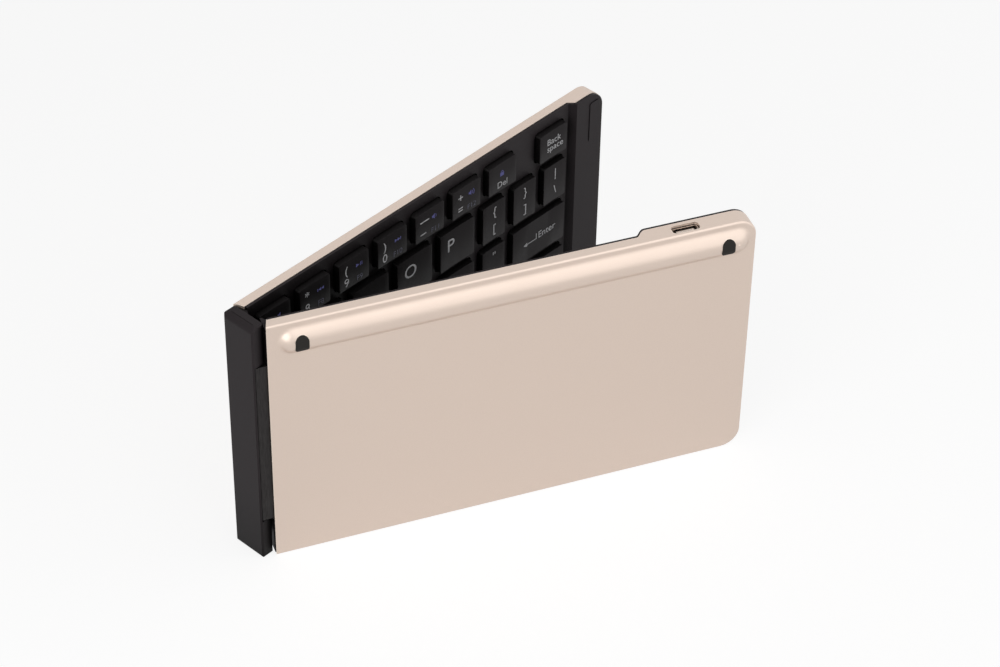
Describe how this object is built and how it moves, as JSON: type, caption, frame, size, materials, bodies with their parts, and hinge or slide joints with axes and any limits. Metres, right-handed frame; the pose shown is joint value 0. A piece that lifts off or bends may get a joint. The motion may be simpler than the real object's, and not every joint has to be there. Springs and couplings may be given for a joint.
{
  "type": "folding keyboard",
  "caption": "Pocket keyboard in two halves that fold flat together on a slim double-pin spine, with metal backs, black keys and a charging port.",
  "frame": {"origin": "centre of the spine's front end face, which the keyboard stands on", "axes": "+X from the spine along the right half, +Y from the left half to the right half, +Z along the hinge pins towards the number row"},
  "size_m": [0.1392, 0.0759, 0.08],
  "materials": {
    "cover_metal": "satin champagne anodised",
    "black_plastic": "fine matt moulding",
    "key_plastic": "soft matt moulding",
    "hinge_metal": "black coated steel",
    "pin_steel": "ground",
    "plate_steel": "plain sheet",
    "dome_rubber": "silicone",
    "foot_rubber": "matt",
    "cell_wrap": "foil pouch",
    "board": "solder mask",
    "socket_metal": "nickel plated"
  },
  "bodies": {
    "spine": {"spine_shell": "black_plastic", "spine_cover": "black_plastic", "left_hinge_pin": "pin_steel", "right_hinge_pin": "pin_steel"},
    "left_half": {"left_hinge_leaf": "hinge_metal", "left_back_cover": "cover_metal", "left_frame": "black_plastic", "left_base_plate": "plate_steel", "left_dome_mat": "dome_rubber", "left_feet": "foot_rubber", "battery": "cell_wrap", "circuit_board": "board", "charging_socket": "socket_metal"},
    "right_half": {"right_hinge_leaf": "hinge_metal", "right_back_cover": "cover_metal", "right_frame": "black_plastic", "right_base_plate": "plate_steel", "right_dome_mat": "dome_rubber", "right_feet": "foot_rubber"},
    "key_7": {"key_7": "key_plastic"},
    "key_8": {"key_8": "key_plastic"},
    "key_9": {"key_9": "key_plastic"},
    "key_0": {"key_0": "key_plastic"},
    "key_minus": {"key_minus": "key_plastic"},
    "key_equals": {"key_equals": "key_plastic"},
    "key_delete": {"key_delete": "key_plastic"},
    "key_backspace": {"key_backspace": "key_plastic"},
    "key_y": {"key_y": "key_plastic"},
    "key_u": {"key_u": "key_plastic"},
    "key_i": {"key_i": "key_plastic"},
    "key_o": {"key_o": "key_plastic"},
    "key_p": {"key_p": "key_plastic"},
    "key_bracket_left": {"key_bracket_left": "key_plastic"},
    "key_bracket_right": {"key_bracket_right": "key_plastic"},
    "key_backslash": {"key_backslash": "key_plastic"},
    "key_h": {"key_h": "key_plastic"},
    "key_j": {"key_j": "key_plastic"},
    "key_k": {"key_k": "key_plastic"},
    "key_l": {"key_l": "key_plastic"},
    "key_semicolon": {"key_semicolon": "key_plastic"},
    "key_quote": {"key_quote": "key_plastic"},
    "key_enter": {"key_enter": "key_plastic"},
    "key_n": {"key_n": "key_plastic"},
    "key_m": {"key_m": "key_plastic"},
    "key_comma": {"key_comma": "key_plastic"},
    "key_period": {"key_period": "key_plastic"},
    "key_slash": {"key_slash": "key_plastic"},
    "key_up": {"key_up": "key_plastic"},
    "key_shift_right": {"key_shift_right": "key_plastic"},
    "key_space_right": {"key_space_right": "key_plastic"},
    "key_alt_right": {"key_alt_right": "key_plastic"},
    "key_ctrl_right": {"key_ctrl_right": "key_plastic"},
    "key_left": {"key_left": "key_plastic"},
    "key_down": {"key_down": "key_plastic"},
    "key_right": {"key_right": "key_plastic"},
    "left_keys_row_5": {"left_keys_row_5": "key_plastic"},
    "left_keys_row_4": {"left_keys_row_4": "key_plastic"},
    "left_keys_row_3": {"left_keys_row_3": "key_plastic"},
    "left_keys_row_2": {"left_keys_row_2": "key_plastic"},
    "left_keys_row_1": {"left_keys_row_1": "key_plastic"}
  },
  "joints": [
    {"name": "left_hinge", "type": "hinge", "parent": "spine", "child": "left_half", "pos_m": [-0.00045, -0.0045, 0.04], "axis": [0, 0, -1], "range_deg": [-26.7, 63.3]},
    {"name": "right_hinge", "type": "hinge", "parent": "spine", "child": "right_half", "pos_m": [-0.00045, 0.0045, 0.04], "axis": [0, 0, 1], "range_deg": [0, 90]},
    {"name": "key_7_press", "type": "slide", "parent": "right_half", "child": "key_7", "axis": [0, 1, 0], "range_m": [0, 0.0013], "stiffness_N_per_m": 300, "springref_m": -0.0005},
    {"name": "key_8_press", "type": "slide", "parent": "right_half", "child": "key_8", "axis": [0, 1, 0], "range_m": [0, 0.0013], "stiffness_N_per_m": 300, "springref_m": -0.0005},
    {"name": "key_9_press", "type": "slide", "parent": "right_half", "child": "key_9", "axis": [0, 1, 0], "range_m": [0, 0.0013], "stiffness_N_per_m": 300, "springref_m": -0.0005},
    {"name": "key_0_press", "type": "slide", "parent": "right_half", "child": "key_0", "axis": [0, 1, 0], "range_m": [0, 0.0013], "stiffness_N_per_m": 300, "springref_m": -0.0005},
    {"name": "key_minus_press", "type": "slide", "parent": "right_half", "child": "key_minus", "axis": [0, 1, 0], "range_m": [0, 0.0013], "stiffness_N_per_m": 300, "springref_m": -0.0005},
    {"name": "key_equals_press", "type": "slide", "parent": "right_half", "child": "key_equals", "axis": [0, 1, 0], "range_m": [0, 0.0013], "stiffness_N_per_m": 300, "springref_m": -0.0005},
    {"name": "key_delete_press", "type": "slide", "parent": "right_half", "child": "key_delete", "axis": [0, 1, 0], "range_m": [0, 0.0013], "stiffness_N_per_m": 300, "springref_m": -0.0005},
    {"name": "key_backspace_press", "type": "slide", "parent": "right_half", "child": "key_backspace", "axis": [0, 1, 0], "range_m": [0, 0.0013], "stiffness_N_per_m": 300, "springref_m": -0.0005},
    {"name": "key_y_press", "type": "slide", "parent": "right_half", "child": "key_y", "axis": [0, 1, 0], "range_m": [0, 0.0013], "stiffness_N_per_m": 300, "springref_m": -0.0005},
    {"name": "key_u_press", "type": "slide", "parent": "right_half", "child": "key_u", "axis": [0, 1, 0], "range_m": [0, 0.0013], "stiffness_N_per_m": 300, "springref_m": -0.0005},
    {"name": "key_i_press", "type": "slide", "parent": "right_half", "child": "key_i", "axis": [0, 1, 0], "range_m": [0, 0.0013], "stiffness_N_per_m": 300, "springref_m": -0.0005},
    {"name": "key_o_press", "type": "slide", "parent": "right_half", "child": "key_o", "axis": [0, 1, 0], "range_m": [0, 0.0013], "stiffness_N_per_m": 300, "springref_m": -0.0005},
    {"name": "key_p_press", "type": "slide", "parent": "right_half", "child": "key_p", "axis": [0, 1, 0], "range_m": [0, 0.0013], "stiffness_N_per_m": 300, "springref_m": -0.0005},
    {"name": "key_bracket_left_press", "type": "slide", "parent": "right_half", "child": "key_bracket_left", "axis": [0, 1, 0], "range_m": [0, 0.0013], "stiffness_N_per_m": 300, "springref_m": -0.0005},
    {"name": "key_bracket_right_press", "type": "slide", "parent": "right_half", "child": "key_bracket_right", "axis": [0, 1, 0], "range_m": [0, 0.0013], "stiffness_N_per_m": 300, "springref_m": -0.0005},
    {"name": "key_backslash_press", "type": "slide", "parent": "right_half", "child": "key_backslash", "axis": [0, 1, 0], "range_m": [0, 0.0013], "stiffness_N_per_m": 300, "springref_m": -0.0005},
    {"name": "key_h_press", "type": "slide", "parent": "right_half", "child": "key_h", "axis": [0, 1, 0], "range_m": [0, 0.0013], "stiffness_N_per_m": 300, "springref_m": -0.0005},
    {"name": "key_j_press", "type": "slide", "parent": "right_half", "child": "key_j", "axis": [0, 1, 0], "range_m": [0, 0.0013], "stiffness_N_per_m": 300, "springref_m": -0.0005},
    {"name": "key_k_press", "type": "slide", "parent": "right_half", "child": "key_k", "axis": [0, 1, 0], "range_m": [0, 0.0013], "stiffness_N_per_m": 300, "springref_m": -0.0005},
    {"name": "key_l_press", "type": "slide", "parent": "right_half", "child": "key_l", "axis": [0, 1, 0], "range_m": [0, 0.0013], "stiffness_N_per_m": 300, "springref_m": -0.0005},
    {"name": "key_semicolon_press", "type": "slide", "parent": "right_half", "child": "key_semicolon", "axis": [0, 1, 0], "range_m": [0, 0.0013], "stiffness_N_per_m": 300, "springref_m": -0.0005},
    {"name": "key_quote_press", "type": "slide", "parent": "right_half", "child": "key_quote", "axis": [0, 1, 0], "range_m": [0, 0.0013], "stiffness_N_per_m": 300, "springref_m": -0.0005},
    {"name": "key_enter_press", "type": "slide", "parent": "right_half", "child": "key_enter", "axis": [0, 1, 0], "range_m": [0, 0.0013], "stiffness_N_per_m": 300, "springref_m": -0.0005},
    {"name": "key_n_press", "type": "slide", "parent": "right_half", "child": "key_n", "axis": [0, 1, 0], "range_m": [0, 0.0013], "stiffness_N_per_m": 300, "springref_m": -0.0005},
    {"name": "key_m_press", "type": "slide", "parent": "right_half", "child": "key_m", "axis": [0, 1, 0], "range_m": [0, 0.0013], "stiffness_N_per_m": 300, "springref_m": -0.0005},
    {"name": "key_comma_press", "type": "slide", "parent": "right_half", "child": "key_comma", "axis": [0, 1, 0], "range_m": [0, 0.0013], "stiffness_N_per_m": 300, "springref_m": -0.0005},
    {"name": "key_period_press", "type": "slide", "parent": "right_half", "child": "key_period", "axis": [0, 1, 0], "range_m": [0, 0.0013], "stiffness_N_per_m": 300, "springref_m": -0.0005},
    {"name": "key_slash_press", "type": "slide", "parent": "right_half", "child": "key_slash", "axis": [0, 1, 0], "range_m": [0, 0.0013], "stiffness_N_per_m": 300, "springref_m": -0.0005},
    {"name": "key_up_press", "type": "slide", "parent": "right_half", "child": "key_up", "axis": [0, 1, 0], "range_m": [0, 0.0013], "stiffness_N_per_m": 300, "springref_m": -0.0005},
    {"name": "key_shift_right_press", "type": "slide", "parent": "right_half", "child": "key_shift_right", "axis": [0, 1, 0], "range_m": [0, 0.0013], "stiffness_N_per_m": 300, "springref_m": -0.0005},
    {"name": "key_space_right_press", "type": "slide", "parent": "right_half", "child": "key_space_right", "axis": [0, 1, 0], "range_m": [0, 0.0013], "stiffness_N_per_m": 300, "springref_m": -0.0005},
    {"name": "key_alt_right_press", "type": "slide", "parent": "right_half", "child": "key_alt_right", "axis": [0, 1, 0], "range_m": [0, 0.0013], "stiffness_N_per_m": 300, "springref_m": -0.0005},
    {"name": "key_ctrl_right_press", "type": "slide", "parent": "right_half", "child": "key_ctrl_right", "axis": [0, 1, 0], "range_m": [0, 0.0013], "stiffness_N_per_m": 300, "springref_m": -0.0005},
    {"name": "key_left_press", "type": "slide", "parent": "right_half", "child": "key_left", "axis": [0, 1, 0], "range_m": [0, 0.0013], "stiffness_N_per_m": 300, "springref_m": -0.0005},
    {"name": "key_down_press", "type": "slide", "parent": "right_half", "child": "key_down", "axis": [0, 1, 0], "range_m": [0, 0.0013], "stiffness_N_per_m": 300, "springref_m": -0.0005},
    {"name": "key_right_press", "type": "slide", "parent": "right_half", "child": "key_right", "axis": [0, 1, 0], "range_m": [0, 0.0013], "stiffness_N_per_m": 300, "springref_m": -0.0005},
    {"name": "left_keys_row_5_press", "type": "slide", "parent": "left_half", "child": "left_keys_row_5", "axis": [-0.4493, -0.8934, 0], "range_m": [0, 0.0013], "stiffness_N_per_m": 1500, "springref_m": -0.0005},
    {"name": "left_keys_row_4_press", "type": "slide", "parent": "left_half", "child": "left_keys_row_4", "axis": [-0.4493, -0.8934, 0], "range_m": [0, 0.0013], "stiffness_N_per_m": 1500, "springref_m": -0.0005},
    {"name": "left_keys_row_3_press", "type": "slide", "parent": "left_half", "child": "left_keys_row_3", "axis": [-0.4493, -0.8934, 0], "range_m": [0, 0.0013], "stiffness_N_per_m": 1500, "springref_m": -0.0005},
    {"name": "left_keys_row_2_press", "type": "slide", "parent": "left_half", "child": "left_keys_row_2", "axis": [-0.4493, -0.8934, 0], "range_m": [0, 0.0013], "stiffness_N_per_m": 1500, "springref_m": -0.0005},
    {"name": "left_keys_row_1_press", "type": "slide", "parent": "left_half", "child": "left_keys_row_1", "axis": [-0.4493, -0.8934, 0], "range_m": [0, 0.0013], "stiffness_N_per_m": 1500, "springref_m": -0.0005}
  ]
}
